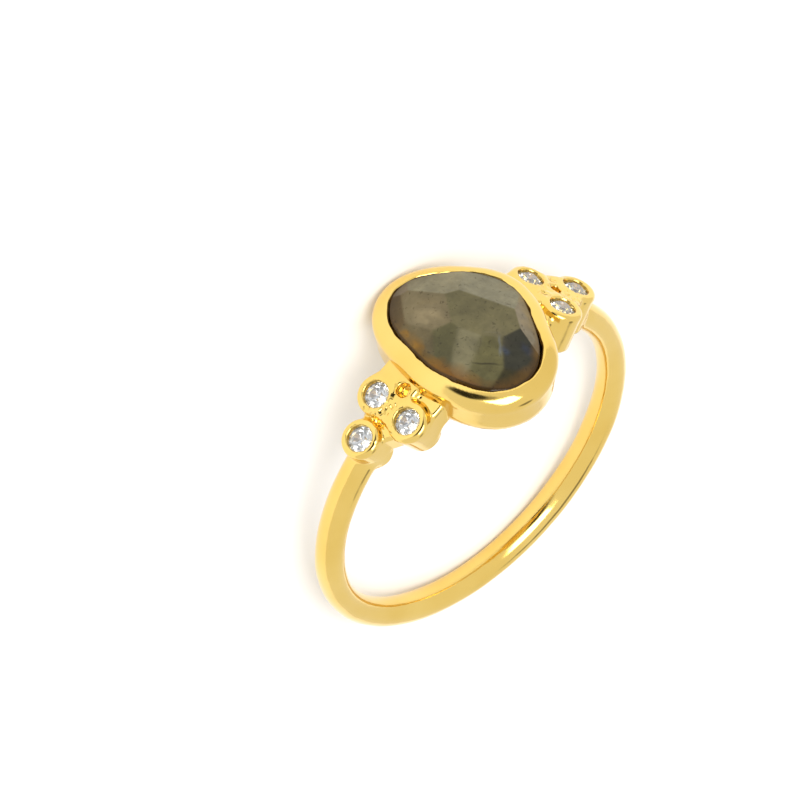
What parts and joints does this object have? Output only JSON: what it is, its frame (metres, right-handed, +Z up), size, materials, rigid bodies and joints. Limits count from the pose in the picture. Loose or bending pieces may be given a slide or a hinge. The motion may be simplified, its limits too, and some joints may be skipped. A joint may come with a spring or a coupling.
{
  "type": "stackable ring",
  "caption": "Slim round-wire finger ring with a large free-form faceted grey stone in a rolled cup setting, between clusters of small round clear stones.",
  "frame": {"origin": "on the surface the ring lies on, under the middle of its box", "axes": "+Z up, the ring lying on its side; the large stone faces -Y; X runs between the two clusters of small stones"},
  "size_m": [0.0204, 0.022, 0.0102],
  "materials": {
    "gold": "polished gold plating",
    "labradorite": "faceted translucent grey stone",
    "clear_stone": "faceted clear stone"
  },
  "bodies": {
    "root": {"ring_metal": "gold", "centre_stone": "labradorite", "left_back_stone": "clear_stone", "left_front_stone": "clear_stone", "left_outer_stone": "clear_stone", "right_back_stone": "clear_stone", "right_front_stone": "clear_stone", "right_outer_stone": "clear_stone"}
  },
  "joints": []
}
